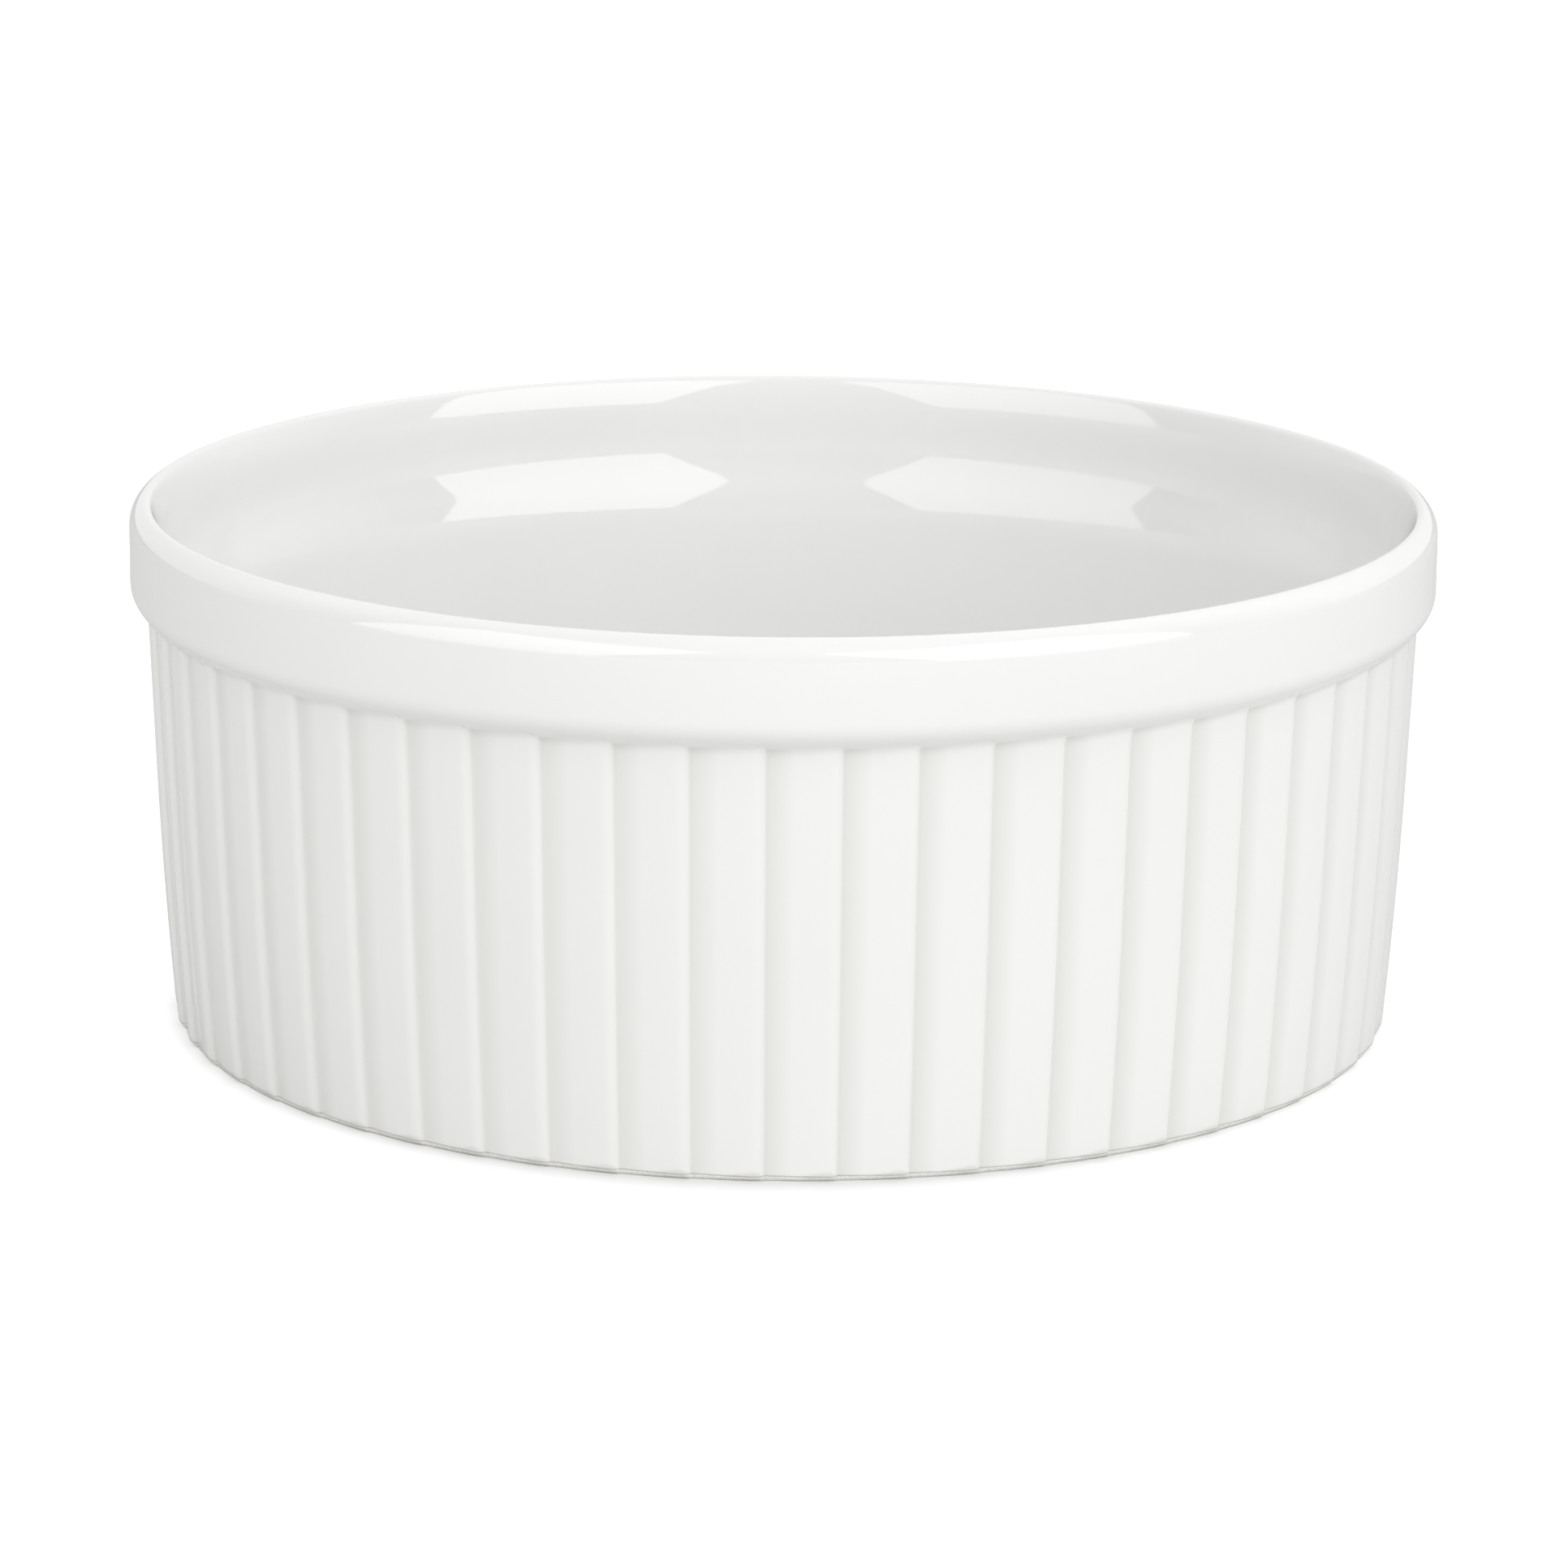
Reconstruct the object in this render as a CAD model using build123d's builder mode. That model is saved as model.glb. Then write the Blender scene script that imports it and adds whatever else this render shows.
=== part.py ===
from build123d import *
from math import acos, cos, degrees, radians, sin, tan
import os

# A round pleated baking dish: one pressed clay body, fired, under one fused coat of glaze.
# The origin is the centre of the foot, +Z is up and -Y is the front. Lengths are millimetres
# and angles degrees. Sizes are those of the glazed dish; the clay lies one glaze coat deeper.

# Overall size
band_diameter = 203.2
total_height = 82.0

# Glaze coat, and the height above the table up to which it is wiped off before firing
glaze_thickness = 0.3
wipe_height = 0.8

# Rim: an outer and a crown rounding, then a slight inner flare that runs into the rim wall
rim_thickness = 4.3
rim_outer_rounding = 4.0
rim_crown_rounding = 1.0
rim_flare_rounding = 15.0
rim_flare_angle = 20.0

# Plain band below the rim, with its undercut lower edge
band_height = 12.3
band_corner_rounding = 4.0
band_undercut_angle = 33.0
band_overhang = 2.25

# Pleated outer wall: it leans in towards the foot, and curves in more near it
wall_lean = 2.35
belly_height = 40.0
belly_rounding = 850.0
wall_level_shares = (0.0, 0.3, 0.6, 1.0)

# Pleats: each face climbs from its root to a shoulder, which rounds over to the next root
pleat_count = 56
pleat_depth = 1.2
pleat_shoulder_width = 1.6
pleat_step_run = 0.2
first_root_angle = -91.29

# Heel: the lower edge of the pleated wall, rounded under to the foot
heel_height = 1.8
heel_inset = 1.3
heel_rounding = 3.6

# Inside: a straight rim wall, a soft shoulder inwards, then the leaning wall and the floor
shoulder_depth = 9.6
shoulder_rounding = 23.4
shoulder_angle = 20.0
floor_height = 6.8
floor_cove = 9.0

# Underside: a flat foot ring round a shallow recess
foot_width = 4.2
recess_depth = 1.6
recess_slope_angle = 30.0
recess_rounding = 1.0

# The pleated sleeve and the plain wall overlap between these shares of the wall's thickness
sleeve_inside_share = 0.25
core_outside_share = 0.6

band_radius = band_diameter / 2
inner_radius = band_radius - rim_thickness
band_low = total_height - band_height
lean_slope = tan(radians(wall_lean))
undercut_slope = tan(radians(band_undercut_angle))
shoulder_top = (inner_radius, total_height - shoulder_depth)

# The rounding of the band's lower corner ends here, and the undercut meets the crests here
corner_end_radius = band_radius - band_corner_rounding * (1 - cos(radians(band_undercut_angle)))
corner_end_height = band_low - band_corner_rounding * sin(radians(band_undercut_angle))
wall_top_radius = band_radius - band_overhang
wall_top = corner_end_height - (corner_end_radius - wall_top_radius) / undercut_slope
sleeve_top = (wall_top + band_low) / 2

# The inner shoulder runs out into the leaning wall here
shoulder_inset = 1 + cos(radians(wall_lean)) - 2 * cos(radians(shoulder_angle))
shoulder_drop = 2 * sin(radians(shoulder_angle)) - sin(radians(wall_lean))
shoulder_end_radius = inner_radius - shoulder_rounding * shoulder_inset
shoulder_end_height = total_height - shoulder_depth - shoulder_rounding * shoulder_drop


def crest_radius(height):
    """The radius of the pleats' crests at a height."""
    below_belly = max(belly_height - height, 0)
    straight = wall_top_radius - (wall_top - height) * lean_slope
    return straight - below_belly**2 / (2 * belly_rounding)


def inner_wall_radius(height):
    """The radius of the leaning inner wall at a height."""
    return shoulder_end_radius - (shoulder_end_height - height) * lean_slope


def inside_wall(height, share):
    """A point in the wall, at a share of the way out from its inner face to the roots."""
    inner = inner_wall_radius(height)
    root = crest_radius(height) - pleat_depth
    return inner + share * (root - inner), height


heel_radius = crest_radius(heel_height)
foot_radius = heel_radius - heel_inset
foot_inner_radius = foot_radius - foot_width


def pleat_outline(height, coat):
    """The closed outline of all the pleats at one height, a coat below the glazed surface."""
    crest = crest_radius(height) - coat
    root_point = Vector(crest - pleat_depth, 0)
    corner_point = Vector(crest, 0).rotate(Axis.Z, -degrees(pleat_step_run / crest))
    pitch = 360 / pleat_count
    edges = []
    for pleat in range(pleat_count):
        start_angle = first_root_angle - degrees(coat / crest) + pleat * pitch
        root = root_point.rotate(Axis.Z, start_angle)
        corner = corner_point.rotate(Axis.Z, start_angle + pitch)
        next_root = root_point.rotate(Axis.Z, start_angle + pitch)
        shoulder = corner + (root - corner).normalized() * pleat_shoulder_width
        edges.append(Line(root, shoulder))
        edges.append(Bezier(shoulder, corner, next_root))
    with BuildSketch(Plane.XY.offset(height)) as outline:
        with BuildLine():
            add(edges)
        make_face()
    return outline.sketch


def heel_waste(coat):
    """What the heel's rounding takes off the lower edge of the pleats, in half section."""
    heel_start = (heel_radius - coat, heel_height)
    heel_end = (foot_radius - coat, coat - glaze_thickness)
    with BuildSketch(Plane.XZ) as waste:
        with BuildLine():
            RadiusArc(heel_start, heel_end, heel_rounding)
            Polyline(heel_end, (band_radius, heel_end[1]), (band_radius, heel_height), heel_start)
        make_face()
    return waste.sketch


def sleeve_space(coat):
    """The space inside the pleated sleeve, in half section."""
    low = coat - glaze_thickness
    with BuildSketch(Plane.XZ) as space:
        with BuildLine():
            Polyline(
                (0, low),
                inside_wall(low, sleeve_inside_share),
                inside_wall(shoulder_end_height, sleeve_inside_share),
                (inner_radius, sleeve_top),
                (0, sleeve_top),
                close=True,
            )
        make_face()
    return space.sketch


def wall_section(coat):
    """Half the dish without its pleats, from rim to foot, a coat below the glazed surface."""
    low = -glaze_thickness
    flare_cos = cos(radians(rim_flare_angle))
    flare_inset = rim_crown_rounding * flare_cos + rim_flare_rounding * (1 - flare_cos)
    crown_past_wall = rim_outer_rounding + flare_inset - rim_thickness
    turn = degrees(acos(crown_past_wall / (rim_outer_rounding - rim_crown_rounding)))
    rim_rise = rim_crown_rounding + (rim_outer_rounding - rim_crown_rounding) * sin(radians(turn))
    rim_spring = (band_radius, total_height - rim_rise)
    cove_top = floor_height + floor_cove * (1 - sin(radians(wall_lean)))
    recess_run = (recess_depth - low) * tan(radians(recess_slope_angle))
    core_low = inside_wall(low, core_outside_share)
    core_high = inside_wall(shoulder_end_height, core_outside_share)
    undercut_drop = (corner_end_radius - core_high[0]) / undercut_slope
    undercut_end = (core_high[0], corner_end_height - undercut_drop)
    axis_side = -coat
    with BuildSketch(Plane.XZ) as section:
        with BuildLine():
            rim_outside = JernArc(rim_spring, (0, 1), rim_outer_rounding, turn)
            crown_turn = 180 - turn - rim_flare_angle
            crown = JernArc(rim_outside @ 1, rim_outside % 1, rim_crown_rounding, crown_turn)
            flare = JernArc(crown @ 1, crown % 1, rim_flare_rounding, rim_flare_angle)
            Line(flare @ 1, shoulder_top)
            shoulder_in = JernArc(shoulder_top, (0, -1), shoulder_rounding, -shoulder_angle)
            shoulder_out = JernArc(
                shoulder_in @ 1, shoulder_in % 1, shoulder_rounding, shoulder_angle - wall_lean
            )
            inner_wall = Line(shoulder_out @ 1, (inner_wall_radius(cove_top), cove_top))
            cove = JernArc(inner_wall @ 1, inner_wall % 1, floor_cove, wall_lean - 90)
            Polyline(cove @ 1, (axis_side, floor_height), (axis_side, recess_depth))
            FilletPolyline(
                (axis_side, recess_depth),
                (foot_inner_radius - recess_run, recess_depth),
                (foot_inner_radius, low),
                radius=recess_rounding,
            )
            band_corner = JernArc(
                (band_radius, band_low), (0, -1), band_corner_rounding, -band_undercut_angle
            )
            Polyline((foot_inner_radius, low), core_low, core_high, undercut_end, band_corner @ 1)
            Line((band_radius, band_low), rim_spring)
        make_face()
        if coat:
            offset(amount=-coat)
    return section.sketch


def dish_form(coat):
    """The whole dish, a coat below the glazed surface."""
    low = coat - glaze_thickness
    with BuildPart() as form:
        for share in wall_level_shares:
            add(pleat_outline(low + share * (sleeve_top - low), coat))
        loft()
        add(heel_waste(coat))
        revolve(axis=Axis.Z, mode=Mode.SUBTRACT)
        add(sleeve_space(coat))
        revolve(axis=Axis.Z, mode=Mode.SUBTRACT)
        add(wall_section(coat))
        revolve(axis=Axis.Z)
    return form.part


os.makedirs("parts", exist_ok=True)

# The pressed and fired clay, bare only at its foot
with BuildPart() as fired_body:
    add(dish_form(glaze_thickness))
fired_body.part.label = "fired_body"
export_step(fired_body.part, "parts/fired_body.step")

# The glaze, fused on all over but for the foot ring
with BuildPart() as glaze_coat:
    add(dish_form(0))
    add(fired_body.part, mode=Mode.SUBTRACT)
    with BuildSketch(Plane.XY.offset(-glaze_thickness)):
        Circle(band_radius)
    extrude(amount=glaze_thickness + wipe_height, mode=Mode.SUBTRACT)
glaze_coat.part.label = "glaze_coat"
export_step(glaze_coat.part, "parts/glaze_coat.step")
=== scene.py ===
from math import acos, atan2, cos, exp, pi, radians, sin, sqrt, tan

import bpy
from mathutils import Matrix, Vector


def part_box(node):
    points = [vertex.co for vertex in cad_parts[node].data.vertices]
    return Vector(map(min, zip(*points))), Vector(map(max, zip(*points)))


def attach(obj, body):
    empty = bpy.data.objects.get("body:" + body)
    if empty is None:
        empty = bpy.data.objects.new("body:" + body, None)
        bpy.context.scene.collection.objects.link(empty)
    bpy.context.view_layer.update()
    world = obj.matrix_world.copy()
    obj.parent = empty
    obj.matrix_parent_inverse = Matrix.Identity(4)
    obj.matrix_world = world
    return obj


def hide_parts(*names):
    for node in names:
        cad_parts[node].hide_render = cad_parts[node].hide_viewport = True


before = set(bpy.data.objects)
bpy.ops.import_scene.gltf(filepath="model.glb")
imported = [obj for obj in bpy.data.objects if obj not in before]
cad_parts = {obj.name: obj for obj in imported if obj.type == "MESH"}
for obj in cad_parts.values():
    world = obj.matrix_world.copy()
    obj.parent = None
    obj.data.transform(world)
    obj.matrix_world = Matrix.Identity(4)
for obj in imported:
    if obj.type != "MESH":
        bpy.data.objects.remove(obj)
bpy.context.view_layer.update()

bl_info = {
    "name": "Pleated Baking Dish",
    "version": (1, 0, 0),
    "blender": (4, 5, 0),
    "location": "View3D > Sidebar > Dish",
    "description": "Glazes a round pleated baking dish and lights it on a white table",
    "category": "Add Mesh",
}

GLAZE_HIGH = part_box("glaze_coat")[1]

BODY = "root"
MM = 0.001

# The photograph is square and this many pixels wide
PHOTO_PIXELS = 1932
SENSOR_MM = 36.0

# Where one pleat is cut into columns, as shares of the way from its root to the next
PLEAT_COLUMN_SHARES = (0, 0.025, 0.06, 0.12, 0.47, 0.82, 0.88, 0.92, 0.95, 0.972, 0.988)

# How finely a pleat's outline and the glaze's softening over it are sampled
OUTLINE_SAMPLES = 480
SOFTENING_STEPS = 12
SOFTENING_SPREADS = 3

# The back of the glaze and the clay under it have this share of the face's points
BACK_DETAIL = 0.5

# Node trees that more than one piece shares
REPEAT_TREE = "Repeat Round The Dish"
UNEVENNESS = "Kiln Unevenness"

# The attribute that holds how deep in the pleats' roots a point of the glaze lies, which sets the
# greyer tone there: partly pooled glaze, partly painted shade
POOL_SHADE_ATTRIBUTE = "glaze_pooled_and_shaded"

# The greyer tone in the roots, partly pooled glaze and partly painted shade, starts at this share
# of a pleat's depth
POOL_AND_SHADE_START = 0.72

# The radius less this slope times the height is larger on the heel's rounding than on the
# pleats' faces: the painted shade under the heel sets in between these two values of it
HEEL_SLOPE = 0.72
HEEL_REACHES = (94.25 * MM, 94.5 * MM)

# How far the glaze's tone, its roughness and the clay's tone wander, and between which
# values of the kiln's unevenness
TONE_DIP = 0.015
TONE_SPAN = (0.35, 0.65)
GLOSS_SPREAD = 0.15
GLOSS_SPAN = (0.3, 0.7)
CLAY_DIP = 0.14
CLAY_DIP_SPAN = (0.35, 0.6)
CLAY_ROUGHNESS = (0.72, 0.88)
CLAY_ROUGHNESS_SPAN = (0.3, 0.7)

# The table's tone as the dish sees it and as the camera does, and the oval round the foot
# where its lift towards white sets in, leaving a painted shadow inside it: half widths along X
# and Y, and two shares of them
TABLE_HALF_WIDTH = 6.0
TABLE_TONE = (0.74, 0.74, 0.74, 1.0)
TABLE_SEEN_TONE = (0.85, 0.85, 0.85, 1.0)
SHADOW_OVAL_HALF_WIDTHS = (96.5 * MM, 106.0 * MM)
SHADOW_OVAL_SHARES = (0.905, 1.02)

# Two soft lamps face a point on the dish's axis, one on each side of the front. Both stand a
# little to the left of even, each is turned about its beam, and the right one is the brighter
LAMP_DISTANCE = 2.0
LAMP_AIM_HEIGHT = 0.07
LAMP_AZIMUTH = radians(45.3)
LAMP_SHIFT = radians(-2.4)
LAMP_RISE = radians(21.5)
LAMP_HALF_ANGLES = (radians(24.3), radians(26.5))
LAMP_LEAN = radians(19.0)
LAMP_UNEVENNESS = 0.12

# What the glaze mirrors of the room: grey in front and white behind, between two shares of +Y
MIRRORED_SHARES = (-0.2, 0.4)
MIRRORED_TONES = (0.3, 1.0)

WHITE = (1.0, 1.0, 1.0, 1.0)


class DishSizes(bpy.types.PropertyGroup):
    """Sizes of the glazed dish"""

    band_radius: bpy.props.FloatProperty(
        name="Band Radius",
        description="Outer radius of the plain band under the rim",
        default=GLAZE_HIGH.x,
        unit="LENGTH",
    )
    total_height: bpy.props.FloatProperty(
        name="Height",
        description="Height of the rim above the table",
        default=GLAZE_HIGH.z,
        unit="LENGTH",
    )
    rim_thickness: bpy.props.FloatProperty(
        name="Rim Thickness",
        description="Thickness of the wall just under the rim",
        default=4.3 * MM,
        unit="LENGTH",
    )
    band_height: bpy.props.FloatProperty(
        name="Band Height",
        description="Height of the plain band from the rim's crown to its lower corner",
        default=12.3 * MM,
        unit="LENGTH",
    )
    band_overhang: bpy.props.FloatProperty(
        name="Band Overhang",
        description="How far the band stands out over the pleats' crests",
        default=2.25 * MM,
        unit="LENGTH",
    )
    wall_lean: bpy.props.FloatProperty(
        name="Wall Lean",
        description="Angle at which the wall leans in towards the foot",
        default=radians(2.35),
        subtype="ANGLE",
    )
    floor_height: bpy.props.FloatProperty(
        name="Floor Height",
        description="Height of the inside floor above the table",
        default=6.8 * MM,
        unit="LENGTH",
    )
    pleat_count: bpy.props.IntProperty(
        name="Pleat Count",
        description="Number of pleats round the outer wall",
        default=56,
        min=3,
    )
    pleat_depth: bpy.props.FloatProperty(
        name="Pleat Depth",
        description="Depth of a pleat's root under its crest",
        default=1.2 * MM,
        unit="LENGTH",
    )
    shoulder_width: bpy.props.FloatProperty(
        name="Shoulder Width",
        description="Width of the rounded shoulder at a pleat's crest",
        default=2.6 * MM,
        unit="LENGTH",
    )
    step_run: bpy.props.FloatProperty(
        name="Step Run",
        description="How far the step down to the next root runs round the dish",
        default=0.2 * MM,
        unit="LENGTH",
    )
    first_root: bpy.props.FloatProperty(
        name="First Root",
        description="Angle of the first pleat's root round the dish",
        default=radians(-91.29),
        subtype="ANGLE",
    )
    glaze_thickness: bpy.props.FloatProperty(
        name="Glaze Thickness",
        description="Thickness of the glaze coat over the fired clay",
        default=0.3 * MM,
        unit="LENGTH",
    )
    glaze_softening: bpy.props.FloatProperty(
        name="Glaze Softening",
        description="How far the glaze rounds over the pleats' edges",
        default=0.14 * MM,
        unit="LENGTH",
    )
    wipe_height: bpy.props.FloatProperty(
        name="Wipe Height",
        description="Height above the table up to which the glaze is wiped off",
        default=0.8 * MM,
        unit="LENGTH",
    )


class DishFinishes(bpy.types.PropertyGroup):
    """Colours and gloss of the glaze and the bare clay"""

    glaze_colour: bpy.props.FloatVectorProperty(
        name="Glaze Colour",
        description="Colour of the white glaze where it lies evenly",
        default=(0.86, 0.865, 0.85),
        size=3,
        min=0,
        max=1,
        subtype="COLOR",
    )
    # The greyer tone in the pleats' roots, partly pooled glaze and partly painted shade, and the
    # painted shade under their heel
    pool_and_shade_colour: bpy.props.FloatVectorProperty(
        name="Pooled Glaze and Shade Colour",
        description="Colour of the glaze in the pleats' roots and under their heel",
        default=(0.75, 0.76, 0.725),
        size=3,
        min=0,
        max=1,
        subtype="COLOR",
    )
    glaze_roughness: bpy.props.FloatProperty(
        name="Glaze Roughness",
        description="Roughness of the glaze's surface",
        default=0.05,
        min=0,
        max=1,
        subtype="FACTOR",
    )
    clay_colour: bpy.props.FloatVectorProperty(
        name="Clay Colour",
        description="Colour of the bare fired clay",
        default=(0.80, 0.785, 0.75),
        size=3,
        min=0,
        max=1,
        subtype="COLOR",
    )


class DishStage(bpy.types.PropertyGroup):
    """The table, the lamps, the room and the camera"""

    lamp_radiance: bpy.props.FloatProperty(
        name="Lamp Brightness",
        description="Brightness of each lamp's face, where 1 is white",
        default=1.5,
        min=0,
    )
    room_light: bpy.props.FloatProperty(
        name="Room Light",
        description="Strength of the light from the room's walls, where 1 is white",
        default=0.325,
        min=0,
    )
    room_slant: bpy.props.FloatProperty(
        name="Room Slant",
        description="How much brighter the room is towards the right than in the middle",
        default=0.18,
        min=0,
    )
    ceiling_light: bpy.props.FloatProperty(
        name="Ceiling Light",
        description="How much brighter the room is overhead than at its walls",
        default=0.6,
        min=0,
    )
    table_lift: bpy.props.FloatProperty(
        name="Table Lift",
        description="How much brighter the table looks to the camera than its colour alone",
        default=0.46,
        min=0,
    )
    camera_distance: bpy.props.FloatProperty(
        name="Camera Distance",
        description="Distance of the camera from the dish's axis",
        default=1.00946,
        unit="LENGTH",
    )
    camera_height: bpy.props.FloatProperty(
        name="Camera Height",
        description="Height of the camera above the table",
        default=0.29196,
        unit="LENGTH",
    )
    camera_turn: bpy.props.FloatProperty(
        name="Camera Turn",
        description="Angle at which the camera looks to the right of the dish's axis",
        default=0.0004,
        subtype="ANGLE",
    )
    camera_tilt: bpy.props.FloatProperty(
        name="Camera Tilt",
        description="Angle at which the camera looks down",
        default=0.24887,
        subtype="ANGLE",
    )
    camera_roll: bpy.props.FloatProperty(
        name="Camera Roll",
        description="Turn of the camera about its line of sight",
        default=0.00835,
        subtype="ANGLE",
    )
    focal_pixels: bpy.props.FloatProperty(
        name="Focal Length in Pixels",
        description="Focal length in pixels of the photograph's width",
        default=8145.1,
    )


# Shape of the dish


class SectionPen:
    """Draws a half section: it keeps the points it passes, each a radius and a height.

    The detail is the share of their steps that its lines and arcs keep.
    """

    def __init__(self, start, heading, detail):
        self.points = [Vector(start)]
        self.heading = heading
        self.detail = detail

    def kept(self, steps):
        """How many of some steps are kept, but at least one."""
        return max(round(steps * self.detail), 1)

    def run_to(self, end, steps=1):
        """A straight line to a point."""
        start = self.points[-1]
        end = Vector(end)
        count = self.kept(steps)
        for step in range(1, count + 1):
            self.points.append(start.lerp(end, step / count))
        run = end - start
        self.heading = atan2(run.y, run.x)

    def bend(self, radius, turn, steps):
        """An arc from the present heading: a positive turn is to the left."""
        side = 1 if turn > 0 else -1
        across = self.heading + side * pi / 2
        centre = self.points[-1] + radius * Vector((cos(across), sin(across)))
        count = self.kept(steps)
        for step in range(1, count + 1):
            back = across + pi + turn * step / count
            self.points.append(centre + radius * Vector((cos(back), sin(back))))
        self.heading += turn


class DishShape:
    """The dish's outlines, worked out from its sizes."""

    rim_outer_rounding = 4.0 * MM
    rim_crown_rounding = 1.0 * MM
    rim_flare_rounding = 15.0 * MM
    rim_flare_angle = radians(20.0)
    band_corner_rounding = 4.0 * MM
    band_undercut = radians(50.0)
    band_foot_rounding = 1.9 * MM
    belly_height = 40.0 * MM
    belly_rounding = 850.0 * MM
    heel_height = 1.8 * MM
    heel_inset = 1.3 * MM
    heel_rounding = 3.6 * MM
    heel_softening = 0.2 * MM
    shoulder_depth = 9.6 * MM
    shoulder_rounding = 23.4 * MM
    shoulder_angle = radians(20.0)
    floor_cove = 9.0 * MM
    foot_width = 4.2 * MM
    recess_depth = 1.6 * MM
    recess_slope = radians(30.0)
    recess_rounding = 1.0 * MM

    # The recess's rounding takes at most this share of the slope before it
    recess_rounding_limit = 0.9

    # How many straight steps each stretch of the section has at full detail
    flat_steps = 2
    cove_steps = 10
    shoulder_steps = 7
    flare_steps = 6
    rim_steps = 8
    corner_steps = 7
    undercut_steps = 4
    recess_steps = 5

    # Heights of the wall's points: even down to the heel, then close together round it
    wall_steps = 12
    heel_heights = (3.4 * MM, 2.6 * MM, 2.2 * MM, 1.9 * MM, 1.6 * MM, 1.3 * MM, 1.05 * MM)

    # The bare clay's points at the foot, and how far it lies there under the glaze's face
    bare_heights = (0.77 * MM, 0.4 * MM, 0)
    glaze_edge = 0.07 * MM

    def __init__(self, sizes):
        self.sizes = sizes
        self.lean = tan(sizes.wall_lean)
        self.inner_radius = sizes.band_radius - sizes.rim_thickness
        corner = self.band_corner_rounding
        self.corner_end = Vector((
            sizes.band_radius - corner * (1 - cos(self.band_undercut)),
            sizes.total_height - sizes.band_height - corner * sin(self.band_undercut),
        ))
        self.wall_top_radius = sizes.band_radius - sizes.band_overhang
        drop = (self.corner_end.x - self.wall_top_radius) / tan(self.band_undercut)
        self.wall_top = self.corner_end.y - drop
        rounding = self.shoulder_rounding
        inset = 1 + cos(sizes.wall_lean) - 2 * cos(self.shoulder_angle)
        fall = 2 * sin(self.shoulder_angle) - sin(sizes.wall_lean)
        self.shoulder_end = Vector((
            self.inner_radius - rounding * inset,
            sizes.total_height - self.shoulder_depth - rounding * fall,
        ))
        self.heel_radius = self.crest_radius(self.heel_height)
        self.foot_radius = self.heel_radius - self.heel_inset
        start = Vector((self.heel_radius, self.heel_height))
        end = Vector((self.foot_radius, 0))
        half = (end - start) / 2
        away = Vector((half.y, -half.x)).normalized()
        rise = sqrt(self.heel_rounding**2 - half.length_squared)
        self.heel_centre = start + half + away * rise
        self.middle_crest = self.crest_radius(sizes.total_height / 2)
        self.pitch = 2 * pi / sizes.pleat_count

    def crest_radius(self, height):
        """The radius of the pleats' crests at a height."""
        below = max(self.belly_height - height, 0)
        straight = self.wall_top_radius - (self.wall_top - height) * self.lean
        return straight - below**2 / (2 * self.belly_rounding)

    def heel_limit(self, height):
        """The radius of the heel's rounding at a height."""
        rise = height - self.heel_centre.y
        return self.heel_centre.x + sqrt(self.heel_rounding**2 - rise**2)

    def wall_radius(self, height, depth):
        """The radius of the outer wall at a height, where it lies a depth under the crests."""
        wall = self.crest_radius(height) - depth
        if height > self.heel_heights[0]:
            return wall
        heel = self.heel_limit(height)
        apart = (wall - heel) / 2
        return (wall + heel) / 2 - sqrt(apart**2 + (self.heel_softening / 2)**2)

    def section(self, depth, detail):
        """The glazed half section from the floor's centre over the rim to the wiped edge.

        Each point is a radius, a height and how far the columns gather there at the pleat's step.
        """
        sizes = self.sizes
        lean = sizes.wall_lean
        cove_top = sizes.floor_height + self.floor_cove * (1 - sin(lean))
        cove_top_radius = self.shoulder_end.x - (self.shoulder_end.y - cove_top) * self.lean
        cove_run = self.floor_cove * cos(lean)
        pen = SectionPen((0, sizes.floor_height), 0, detail)
        pen.run_to((cove_top_radius - cove_run, sizes.floor_height), self.flat_steps)
        pen.bend(self.floor_cove, pi / 2 - lean, self.cove_steps)
        pen.run_to(self.shoulder_end, self.flat_steps)
        for turn in (lean - self.shoulder_angle, self.shoulder_angle):
            pen.bend(self.shoulder_rounding, turn, self.shoulder_steps)
        outer, crown = self.rim_outer_rounding, self.rim_crown_rounding
        flare, flare_angle = self.rim_flare_rounding, self.rim_flare_angle
        flare_inset = crown * cos(flare_angle) + flare * (1 - cos(flare_angle))
        turn = acos((outer + flare_inset - sizes.rim_thickness) / (outer - crown))
        flare_top = sizes.total_height - crown * (1 - sin(flare_angle)) - flare * sin(flare_angle)
        pen.run_to((self.inner_radius, flare_top), self.flat_steps)
        pen.bend(flare, -flare_angle, self.flare_steps)
        pen.bend(crown, turn + flare_angle - pi, self.rim_steps)
        pen.bend(outer, -turn, self.rim_steps)
        band_low = sizes.total_height - sizes.band_height
        pen.run_to((sizes.band_radius, band_low), self.flat_steps)
        pen.bend(self.band_corner_rounding, -self.band_undercut, self.corner_steps)
        even = len(pen.points)
        undercut = tan(self.band_undercut)
        gap = self.corner_end.x - self.corner_end.y * undercut
        gap += self.wall_top * self.lean - self.wall_top_radius + depth
        junction = gap / (self.lean - undercut)
        meeting = Vector((self.crest_radius(junction) - depth, junction))
        bend = self.band_undercut - lean
        reach = self.band_foot_rounding * tan(bend / 2)
        down = Vector((-sin(self.band_undercut), -cos(self.band_undercut)))
        pen.run_to(meeting - down * reach, self.undercut_steps)
        pen.bend(self.band_foot_rounding, bend, self.undercut_steps)
        top = pen.points[-1].y
        low = self.heel_heights[0]
        count = pen.kept(self.wall_steps)
        for step in range(1, count + 1):
            height = top + (low - top) * step / count
            pen.points.append(Vector((self.wall_radius(height, depth), height)))
        for height in self.heel_heights[1:] + (sizes.wipe_height,):
            pen.points.append(Vector((self.wall_radius(height, depth), height)))
        morph = pen.kept(self.undercut_steps)
        gathers = [min(max((place - even + 1) / morph, 0), 1) for place in range(len(pen.points))]
        return [Vector((*point, gather)) for point, gather in zip(pen.points, gathers)]

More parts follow.
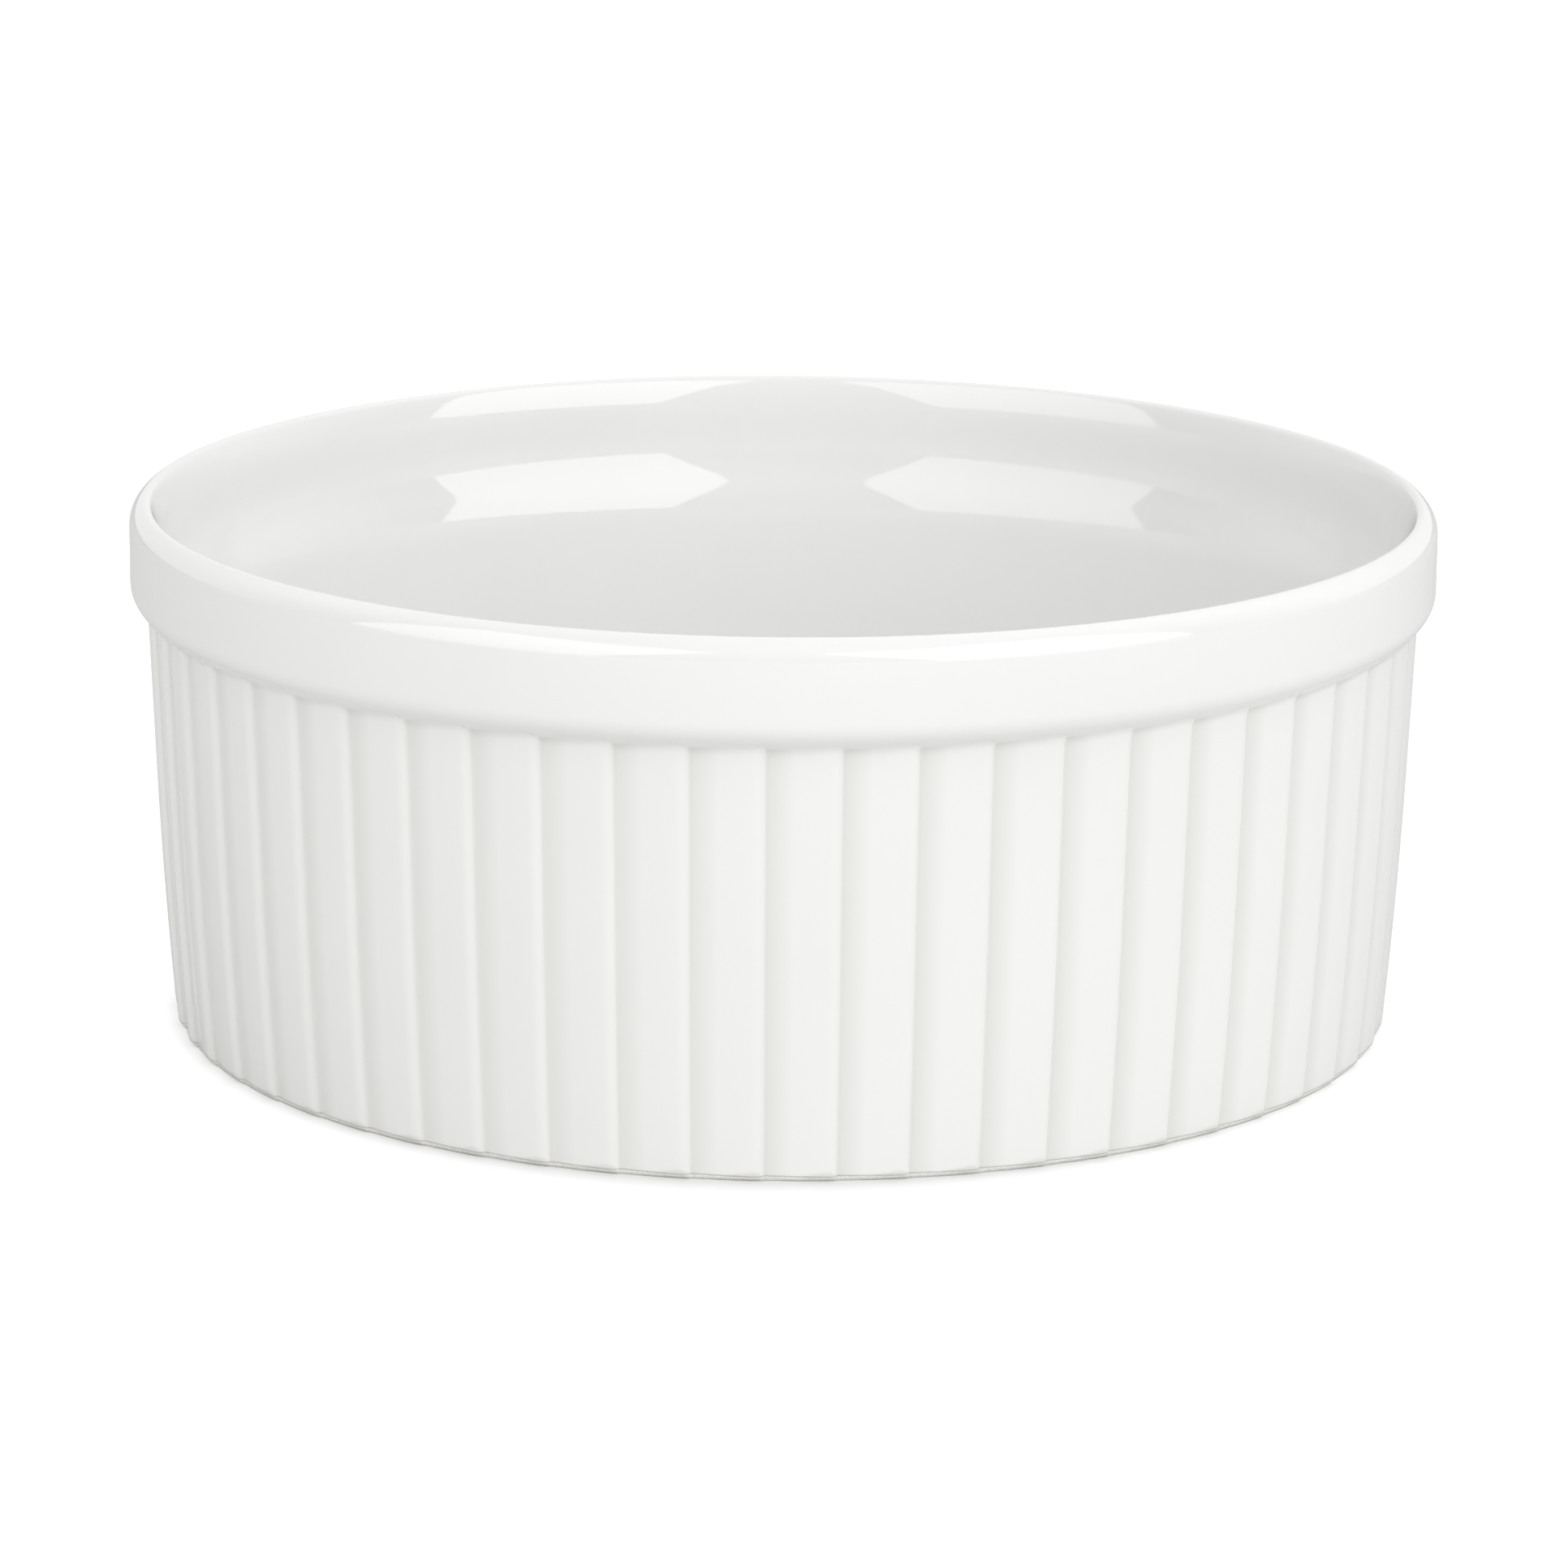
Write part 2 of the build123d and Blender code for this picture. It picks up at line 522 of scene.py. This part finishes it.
    def recess_section(self, detail):
        """The glazed half section of the recess under the dish, from the wiped edge inwards."""
        foot_inner = self.foot_radius - self.foot_width
        slope = tan(self.recess_slope)
        low = self.sizes.wipe_height
        start = (foot_inner - (low + self.sizes.glaze_thickness) * slope, low)
        corner_radius = foot_inner - (self.recess_depth + self.sizes.glaze_thickness) * slope
        corner = Vector((corner_radius, self.recess_depth))
        turn = pi / 2 - self.recess_slope
        reach = self.recess_rounding * tan(turn / 2)
        up = Vector((-sin(self.recess_slope), cos(self.recess_slope)))
        limit = (corner - Vector(start)).length * self.recess_rounding_limit
        pen = SectionPen(start, 0, detail)
        pen.run_to(corner - up * min(reach, limit))
        pen.bend(self.recess_rounding, turn, self.recess_steps)
        pen.run_to((0, self.recess_depth), self.flat_steps)
        return [Vector((*point, 0)) for point in pen.points]

    def clay_section(self, depth):
        """The clay's whole half section: under the glaze, round the bare foot and the recess."""
        coat = self.sizes.glaze_thickness
        points = inset(self.section(depth, BACK_DETAIL), -coat)
        for height in self.bare_heights:
            points.append(Vector((self.wall_radius(height, depth) - self.glaze_edge, height, 1)))
        points.append(Vector((self.foot_radius - self.foot_width, 0, 0)))
        return points + inset(self.recess_section(BACK_DETAIL), -coat)

    def pleat_outline(self):
        """One pleat from above, in pairs: the angle past its root, the depth under the crest."""
        sizes, crest, pitch = self.sizes, self.middle_crest, self.pitch
        root = Vector((crest - sizes.pleat_depth, 0))
        next_root = Matrix.Rotation(pitch, 2) @ root
        corner = Matrix.Rotation(pitch - sizes.step_run / crest, 2) @ Vector((crest, 0))
        shoulder = corner + (root - corner).normalized() * sizes.shoulder_width
        line = []
        shares = [sample / OUTLINE_SAMPLES for sample in range(OUTLINE_SAMPLES + 1)]
        for share in shares[:-1]:
            line.append(root.lerp(shoulder, share))
        for share in shares:
            line.append(shoulder.lerp(corner, share).lerp(corner.lerp(next_root, share), share))
        return [(atan2(point.y, point.x), crest - point.length) for point in line]

    def pleat_depths(self):
        """The columns of one pleat: angles past its root, and glaze-softened depths there."""
        outline = self.pleat_outline()
        pitch = self.pitch
        spread = self.sizes.glaze_softening / self.middle_crest
        steps = range(-SOFTENING_STEPS, SOFTENING_STEPS + 1)
        offsets = [spread * SOFTENING_SPREADS * step / SOFTENING_STEPS for step in steps]
        weights = [exp(-((offset / spread) ** 2) / 2) for offset in offsets]

        def depth_at(angle):
            angle %= pitch
            low, high = 0, len(outline) - 1
            while high - low > 1:
                middle = (low + high) // 2
                if outline[middle][0] <= angle:
                    low = middle
                else:
                    high = middle
            run = outline[high][0] - outline[low][0]
            share = (angle - outline[low][0]) / run if run else 0
            return outline[low][1] + share * (outline[high][1] - outline[low][1])

        columns = []
        for share in PLEAT_COLUMN_SHARES + (1,):
            angle = share * pitch
            soft = sum(w * depth_at(angle + o) for w, o in zip(weights, offsets))
            columns.append((angle, soft / sum(weights)))
        return columns


def inset(points, distance):
    """A section moved to its left by a distance, square to itself."""
    moved = []
    for place, point in enumerate(points):
        before = points[max(place - 1, 0)]
        after = points[min(place + 1, len(points) - 1)]
        run = (after - before).xy.normalized()
        moved.append(point + Vector((-run.y, run.x, 0)) * distance)
    moved[0].x = max(moved[0].x, 0)
    moved[-1].x = max(moved[-1].x, 0)
    return moved


def wedge_mesh(name, loops, columns, deepest):
    """One pleat's share of the dish: each loop gives the outline for each column."""
    verts = []
    faces = []
    root_pool_shade = []
    pitch = columns[-1][0]
    for outlines in loops:
        first = len(verts)
        count = len(outlines[0])
        for number, outline in enumerate(outlines):
            gathered, depth = columns[number]
            even = pitch * number / (len(columns) - 1)
            for radius, height, gather in outline:
                angle = even + (gathered - even) * gather
                verts.append((radius * cos(angle), radius * sin(angle), height))
                # How deep in the root the point lies sets the greyer tone there: partly pooled
                # glaze, partly painted shade
                root_pool_shade.append(gather * depth / deepest)
        for column in range(len(columns) - 1):
            here = first + column * count
            there = here + count
            for place in range(count - 1):
                quad = (here + place, here + place + 1, there + place + 1, there + place)
                faces.append(quad)
    mesh = bpy.data.meshes.new(name)
    mesh.from_pydata(verts, [], faces)
    attribute = mesh.attributes.new(POOL_SHADE_ATTRIBUTE, "FLOAT", "POINT")
    attribute.data.foreach_set("value", root_pool_shade)
    mesh.validate()
    return mesh


# Node trees


def socket(tree, name, kind, into=True, default=None):
    """A named input or output of a node tree."""
    made = tree.interface.new_socket(
        name=name, in_out="INPUT" if into else "OUTPUT", socket_type=kind
    )
    if default is not None:
        made.default_value = default
    return made


def fed(tree, value, into):
    """Sets a socket to a value, or links it to another node's output."""
    if isinstance(value, bpy.types.NodeSocket):
        tree.links.new(value, into)
    else:
        into.default_value = value


def computed(tree, operation, *values):
    """What a Math node makes of some values, each a number or another node's output."""
    node = tree.nodes.new("ShaderNodeMath")
    node.operation = operation
    for value, into in zip(values, node.inputs):
        fed(tree, value, into)
    return node.outputs["Value"]


def repeat_round_tree():
    """A tree that repeats a wedge round the upright axis and joins the copies into one skin."""
    tree = bpy.data.node_groups.new(REPEAT_TREE, "GeometryNodeTree")
    socket(tree, "Wedge", "NodeSocketGeometry")
    socket(tree, "Pleat Count", "NodeSocketInt", default=56)
    socket(tree, "First Root", "NodeSocketFloat", default=0.0)
    socket(tree, "Join Distance", "NodeSocketFloat", default=0.002 * MM)
    socket(tree, "Finish", "NodeSocketMaterial")
    socket(tree, "Dish", "NodeSocketGeometry", into=False)
    nodes, links = tree.nodes, tree.links
    given = nodes.new("NodeGroupInput")
    result = nodes.new("NodeGroupOutput")
    points = nodes.new("GeometryNodePoints")
    index = nodes.new("GeometryNodeInputIndex")
    pitch = computed(tree, "DIVIDE", 2 * pi, given.outputs["Pleat Count"])
    turn = computed(tree, "MULTIPLY_ADD", index.outputs[0], pitch, given.outputs["First Root"])
    rotation = nodes.new("ShaderNodeCombineXYZ")
    copies = nodes.new("GeometryNodeInstanceOnPoints")
    real = nodes.new("GeometryNodeRealizeInstances")
    joined = nodes.new("GeometryNodeMergeByDistance")
    smooth = nodes.new("GeometryNodeSetShadeSmooth")
    finish = nodes.new("GeometryNodeSetMaterial")
    links.new(given.outputs["Pleat Count"], points.inputs["Count"])
    links.new(turn, rotation.inputs["Z"])
    links.new(points.outputs[0], copies.inputs["Points"])
    links.new(given.outputs["Wedge"], copies.inputs["Instance"])
    links.new(rotation.outputs[0], copies.inputs["Rotation"])
    links.new(copies.outputs[0], real.inputs[0])
    links.new(real.outputs[0], joined.inputs["Geometry"])
    links.new(given.outputs["Join Distance"], joined.inputs["Distance"])
    links.new(joined.outputs[0], smooth.inputs["Geometry"])
    links.new(smooth.outputs[0], finish.inputs["Geometry"])
    links.new(given.outputs["Finish"], finish.inputs["Material"])
    links.new(finish.outputs[0], result.inputs[0])
    return tree


def placed(name, data):
    """A new object in the scene."""
    made = bpy.data.objects.new(name, data)
    bpy.context.scene.collection.objects.link(made)
    return made


def grow(name, mesh, tree, values):
    """The plain mesh that a tree makes of a mesh, as a new object at the origin."""
    seed = placed(name, mesh)
    modifier = seed.modifiers.new("Grow", "NODES")
    modifier.node_group = tree
    for item in tree.interface.items_tree:
        if item.in_out == "INPUT" and item.name in values:
            modifier[item.identifier] = values[item.name]
    graph = bpy.context.evaluated_depsgraph_get()
    grown = bpy.data.meshes.new_from_object(seed.evaluated_get(graph))
    seed.modifiers.remove(modifier)
    grown.name = name
    seed.data = grown
    return seed


# Finishes


def colour4(colour):
    """A colour with full alpha."""
    return (*colour, 1.0)


def uneven_fire_group():
    """Slow changes of tone and a fine grain, which kiln-fired surfaces share."""
    group = bpy.data.node_groups.new(UNEVENNESS, "ShaderNodeTree")
    socket(group, "Tone Size", "NodeSocketFloat", default=30.0)
    socket(group, "Grain Size", "NodeSocketFloat", default=900.0)
    socket(group, "Tone", "NodeSocketFloat", into=False)
    socket(group, "Grain", "NodeSocketFloat", into=False)
    nodes, links = group.nodes, group.links
    given = nodes.new("NodeGroupInput")
    result = nodes.new("NodeGroupOutput")
    place = nodes.new("ShaderNodeTexCoord")
    tone = nodes.new("ShaderNodeTexNoise")
    tone.inputs["Detail"].default_value = 2.0
    grain = nodes.new("ShaderNodeTexNoise")
    grain.inputs["Detail"].default_value = 3.0
    links.new(place.outputs["Object"], tone.inputs["Vector"])
    links.new(place.outputs["Object"], grain.inputs["Vector"])
    links.new(given.outputs["Tone Size"], tone.inputs["Scale"])
    links.new(given.outputs["Grain Size"], grain.inputs["Scale"])
    links.new(tone.outputs["Fac"], result.inputs["Tone"])
    links.new(grain.outputs["Fac"], result.inputs["Grain"])
    return group


def new_material(name):
    """A material with one Principled surface: its node tree and that surface."""
    material = bpy.data.materials.new(name)
    material.use_nodes = True
    return material, material.node_tree, material.node_tree.nodes["Principled BSDF"]


def mixed(tree, factor, low, high, kind="RGBA"):
    """A colour or a number between two others, by a factor's output."""
    mix = tree.nodes.new("ShaderNodeMix")
    mix.data_type = kind
    tree.links.new(factor, mix.inputs["Factor"])
    ends = [end for end in mix.inputs if end.enabled and end.name in ("A", "B")]
    for value, end in zip((low, high), ends):
        fed(tree, value, end)
    return next(result for result in mix.outputs if result.enabled)


def ranged(tree, value, span, to_span=(0, 1)):
    """A value moved from one span to another and held inside it."""
    node = tree.nodes.new("ShaderNodeMapRange")
    tree.links.new(value, node.inputs["Value"])
    node.inputs["From Min"].default_value, node.inputs["From Max"].default_value = span
    node.inputs["To Min"].default_value, node.inputs["To Max"].default_value = to_span
    return node.outputs["Result"]


def bumped(tree, height, strength, distance):
    """The normal of a surface that a height raises."""
    bump = tree.nodes.new("ShaderNodeBump")
    bump.inputs["Strength"].default_value = strength
    bump.inputs["Distance"].default_value = distance
    tree.links.new(height, bump.inputs["Height"])
    return bump.outputs["Normal"]


def flat_distance(tree, scales=(1, 1)):
    """A point's distance from the object's upright axis, with X and Y scaled first."""
    place = tree.nodes.new("ShaderNodeTexCoord")
    flat = tree.nodes.new("ShaderNodeVectorMath")
    flat.operation = "MULTIPLY"
    flat.inputs[1].default_value = (*scales, 0)
    length = tree.nodes.new("ShaderNodeVectorMath")
    length.operation = "LENGTH"
    tree.links.new(place.outputs["Object"], flat.inputs[0])
    tree.links.new(flat.outputs["Vector"], length.inputs[0])
    return length.outputs["Value"]


def heel_shade_mask(tree):
    """Mask of the painted shade under the heel: 1 on the heel's rounding under the pleats, 0 on
    the pleats' faces.
    """
    place = tree.nodes.new("ShaderNodeTexCoord")
    split = tree.nodes.new("ShaderNodeSeparateXYZ")
    tree.links.new(place.outputs["Object"], split.inputs[0])
    height = split.outputs["Z"]
    reach = computed(tree, "MULTIPLY_ADD", height, -HEEL_SLOPE, flat_distance(tree))
    return ranged(tree, reach, HEEL_REACHES)


def uneven_fire(tree, tone_size, grain_size):
    """The tone and the grain of the shared unevenness, at a material's own sizes."""
    uneven = tree.nodes.new("ShaderNodeGroup")
    uneven.node_tree = bpy.data.node_groups[UNEVENNESS]
    uneven.inputs["Tone Size"].default_value = tone_size
    uneven.inputs["Grain Size"].default_value = grain_size
    return uneven.outputs["Tone"], uneven.outputs["Grain"]


def white_glaze(finishes):
    """Glossy white glaze, greyer in the pleats' roots, partly pooled glaze and partly painted
    shade, and with painted shade under the heel.
    """
    material, tree, surface = new_material("white_glaze")
    tone, grain = uneven_fire(tree, tone_size=22.0, grain_size=420.0)
    even = colour4(finishes.glaze_colour)
    dimmer_tone = colour4(Vector(finishes.glaze_colour) * (1 - TONE_DIP))
    spread = mixed(tree, ranged(tree, tone, TONE_SPAN), dimmer_tone, even)
    # The greyer tone: partly pooled glaze and partly painted shade in the roots, painted shade
    # under the heel
    root_pool_shade = tree.nodes.new("ShaderNodeAttribute")
    root_pool_shade.attribute_name = POOL_SHADE_ATTRIBUTE
    in_root = ranged(tree, root_pool_shade.outputs["Fac"], (POOL_AND_SHADE_START, 1.0))
    # The painted shade under the heel joins the roots' tone
    pool_and_painted_shade = computed(tree, "MAXIMUM", in_root, heel_shade_mask(tree))
    colour = mixed(tree, pool_and_painted_shade, spread, colour4(finishes.pool_and_shade_colour))
    rough = finishes.glaze_roughness
    ends = (rough * (1 - GLOSS_SPREAD), rough * (1 + GLOSS_SPREAD))
    gloss = ranged(tree, grain, GLOSS_SPAN, ends)
    normal = bumped(tree, grain, strength=0.12, distance=0.05 * MM)
    tree.links.new(colour, surface.inputs["Base Color"])
    tree.links.new(gloss, surface.inputs["Roughness"])
    tree.links.new(normal, surface.inputs["Normal"])
    surface.inputs["IOR"].default_value = 1.6
    surface.inputs["Specular IOR Level"].default_value = 0.7
    return material


def bare_clay(finishes):
    """Matt fired clay with a fine grain, where the glaze was wiped off the foot."""
    material, tree, surface = new_material("bare_clay")
    tone, grain = uneven_fire(tree, tone_size=60.0, grain_size=2600.0)
    even = colour4(finishes.clay_colour)
    dark = colour4(Vector(finishes.clay_colour) * (1 - CLAY_DIP))
    colour = mixed(tree, ranged(tree, grain, CLAY_DIP_SPAN), dark, even)
    rough = ranged(tree, tone, CLAY_ROUGHNESS_SPAN, CLAY_ROUGHNESS)
    normal = bumped(tree, grain, strength=0.5, distance=0.06 * MM)
    tree.links.new(colour, surface.inputs["Base Color"])
    tree.links.new(rough, surface.inputs["Roughness"])
    tree.links.new(normal, surface.inputs["Normal"])
    surface.inputs["IOR"].default_value = 1.5
    return material


def white_table(lift):
    """A matt table that the camera sees white, but for a painted shadow round the foot, strongest
    in front, where its lift towards white fades out.
    """
    material, tree, surface = new_material("white_table")
    surface.inputs["Roughness"].default_value = 1.0
    surface.inputs["Specular IOR Level"].default_value = 0.0
    surface.inputs["Emission Color"].default_value = WHITE
    path = tree.nodes.new("ShaderNodeLightPath")
    seen = path.outputs["Is Camera Ray"]
    colour = mixed(tree, seen, TABLE_TONE, TABLE_SEEN_TONE)
    # The lift fades out inside an oval round the foot: a painted shadow there, deeper than the
    # lamps cast
    share = flat_distance(tree, [1 / half_width for half_width in SHADOW_OVAL_HALF_WIDTHS])
    glow = computed(tree, "MULTIPLY", seen, ranged(tree, share, SHADOW_OVAL_SHARES, (0, lift)))
    tree.links.new(colour, surface.inputs["Base Color"])
    tree.links.new(glow, surface.inputs["Emission Strength"])
    return material


# Operators


def repeated(name, loops, sizes, columns, material):
    """A piece made by repeating one pleat's share of the given loops round the dish."""
    wedge = wedge_mesh(name, loops, columns, sizes.pleat_depth)
    tree = bpy.data.node_groups.get(REPEAT_TREE) or repeat_round_tree()
    values = {
        "Pleat Count": sizes.pleat_count,
        "First Root": sizes.first_root,
        "Finish": material,
    }
    return grow(name, wedge, tree, values)


class DISH_OT_glaze_coat(bpy.types.Operator):
    """Grow the glaze coat with its softened pleats and put it in place of the plain one"""

    bl_idname = "dish.glaze_coat"
    bl_label = "Glaze Coat"

    def execute(self, context):
        sizes = context.scene.dish_sizes
        shape = DishShape(sizes)
        columns = shape.pleat_depths()
        coat = sizes.glaze_thickness
        skins = []
        recess = []
        for _, depth in columns:
            face = shape.section(depth, 1)
            back = inset(shape.section(depth, BACK_DETAIL), -coat)
            skins.append(face + back[::-1])
            under = shape.recess_section(1)
            recess.append(inset(shape.recess_section(BACK_DETAIL), -coat)[::-1] + under)
        material = white_glaze(context.scene.dish_finishes)
        piece = repeated("white_glaze_coat", (skins, recess), sizes, columns, material)
        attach(piece, BODY)
        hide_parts("glaze_coat")
        return {"FINISHED"}


class DISH_OT_fired_clay(bpy.types.Operator):
    """Grow the fired clay under the glaze, bare at its wiped foot, in place of the plain one"""

    bl_idname = "dish.fired_clay"
    bl_label = "Fired Clay"

    def execute(self, context):
        sizes = context.scene.dish_sizes
        shape = DishShape(sizes)
        columns = shape.pleat_depths()
        whole = [shape.clay_section(depth) for _, depth in columns]
        material = bare_clay(context.scene.dish_finishes)
        piece = repeated("fired_clay", (whole,), sizes, columns, material)
        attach(piece, BODY)
        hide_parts("fired_body")
        return {"FINISHED"}


class DISH_OT_stage(bpy.types.Operator):
    """Set the white table, the two soft lamps, the room's light and the camera"""

    bl_idname = "dish.stage"
    bl_label = "Stage"

    def execute(self, context):
        scene = context.scene
        stage = scene.dish_stage
        self.table(stage)
        for side in (-1, 1):
            self.lamp(stage, side)
        self.room(scene, stage)
        self.camera(scene, stage)
        scene.view_settings.view_transform = "Standard"
        return {"FINISHED"}

    def table(self, stage):
        """The table, wide enough to fill the view."""
        half = TABLE_HALF_WIDTH
        mesh = bpy.data.meshes.new("table")
        corners = [(-half, -half, 0), (half, -half, 0), (half, half, 0), (-half, half, 0)]
        mesh.from_pydata(corners, [], [(0, 1, 2, 3)])
        mesh.materials.append(white_table(stage.table_lift))
        placed("table", mesh)

    def lamp(self, stage, side):
        """One lamp: the side is -1 for the left one and 1 for the right one."""
        light = bpy.data.lights.new("soft_lamp", "AREA")
        light.shape = "RECTANGLE"
        light.size, light.size_y = [2 * LAMP_DISTANCE * tan(half) for half in LAMP_HALF_ANGLES]
        radiance = stage.lamp_radiance * (1 + LAMP_UNEVENNESS * side)
        light.energy = radiance * pi * light.size * light.size_y
        azimuth = LAMP_AZIMUTH * side + LAMP_SHIFT
        aim = Matrix.Translation((0, 0, LAMP_AIM_HEIGHT))
        turned = Matrix.Rotation(azimuth, 4, "Z") @ Matrix.Rotation(pi / 2 - LAMP_RISE, 4, "X")
        away = Matrix.Translation((0, 0, LAMP_DISTANCE))
        leaning = Matrix.Rotation(LAMP_LEAN * side, 4, "Z")
        placed("soft_lamp", light).matrix_world = aim @ turned @ away @ leaning

    def room(self, scene, stage):
        """A room that the camera sees white, brighter to the right and overhead."""
        world = bpy.data.worlds.new("white_room")
        scene.world = world
        world.use_nodes = True
        tree = world.node_tree
        surface = tree.nodes["Background"]
        surface.inputs["Color"].default_value = WHITE
        path = tree.nodes.new("ShaderNodeLightPath")
        place = tree.nodes.new("ShaderNodeTexCoord")
        split = tree.nodes.new("ShaderNodeSeparateXYZ")
        tree.links.new(place.outputs["Generated"], split.inputs[0])
        right, back, up = split.outputs
        walls = computed(tree, "MULTIPLY_ADD", right, stage.room_slant, stage.room_light)
        overhead = computed(tree, "MAXIMUM", up, 0.0)
        light = computed(tree, "MULTIPLY_ADD", overhead, stage.ceiling_light, walls)
        mirrored = ranged(tree, back, MIRRORED_SHARES, MIRRORED_TONES)
        unseen = mixed(tree, path.outputs["Is Glossy Ray"], light, mirrored, "FLOAT")
        strength = mixed(tree, path.outputs["Is Camera Ray"], unseen, 1.0, "FLOAT")
        tree.links.new(strength, surface.inputs["Strength"])

    def camera(self, scene, stage):
        """The photograph's camera."""
        data = bpy.data.cameras.new("camera")
        data.sensor_width = SENSOR_MM
        data.lens = stage.focal_pixels / PHOTO_PIXELS * SENSOR_MM
        turn = Matrix.Rotation(-stage.camera_turn, 4, "Z")
        tilt = Matrix.Rotation(pi / 2 - stage.camera_tilt, 4, "X")
        roll = Matrix.Rotation(stage.camera_roll, 4, "Z")
        stand = Matrix.Translation((0, -stage.camera_distance, stage.camera_height))
        scene.camera = placed("camera", data)
        scene.camera.matrix_world = stand @ turn @ tilt @ roll


class DISH_PT_panel(bpy.types.Panel):
    """Lists the dish's sizes, finishes, stage and steps"""

    bl_label = "Pleated Baking Dish"
    bl_idname = "DISH_PT_panel"
    bl_space_type = "VIEW_3D"
    bl_region_type = "UI"
    bl_category = "Dish"

    def draw(self, context):
        layout = self.layout
        scene = context.scene
        for settings in (scene.dish_sizes, scene.dish_finishes, scene.dish_stage):
            box = layout.box()
            for name in settings.bl_rna.properties.keys():
                if name not in ("rna_type", "name"):
                    box.prop(settings, name)
        for operator in OPERATORS:
            layout.operator(operator.bl_idname)


OPERATORS = (DISH_OT_glaze_coat, DISH_OT_fired_clay, DISH_OT_stage)
CLASSES = (DishSizes, DishFinishes, DishStage) + OPERATORS + (DISH_PT_panel,)


def register():
    for cls in CLASSES:
        bpy.utils.register_class(cls)
    bpy.types.Scene.dish_sizes = bpy.props.PointerProperty(type=DishSizes)
    bpy.types.Scene.dish_finishes = bpy.props.PointerProperty(type=DishFinishes)
    bpy.types.Scene.dish_stage = bpy.props.PointerProperty(type=DishStage)


def unregister():
    del bpy.types.Scene.dish_stage
    del bpy.types.Scene.dish_finishes
    del bpy.types.Scene.dish_sizes
    for cls in reversed(CLASSES):
        bpy.utils.unregister_class(cls)


def main():
    register()
    uneven_fire_group()
    bpy.ops.dish.glaze_coat()
    bpy.ops.dish.fired_clay()
    bpy.ops.dish.stage()


if __name__ == "__main__":
    main()
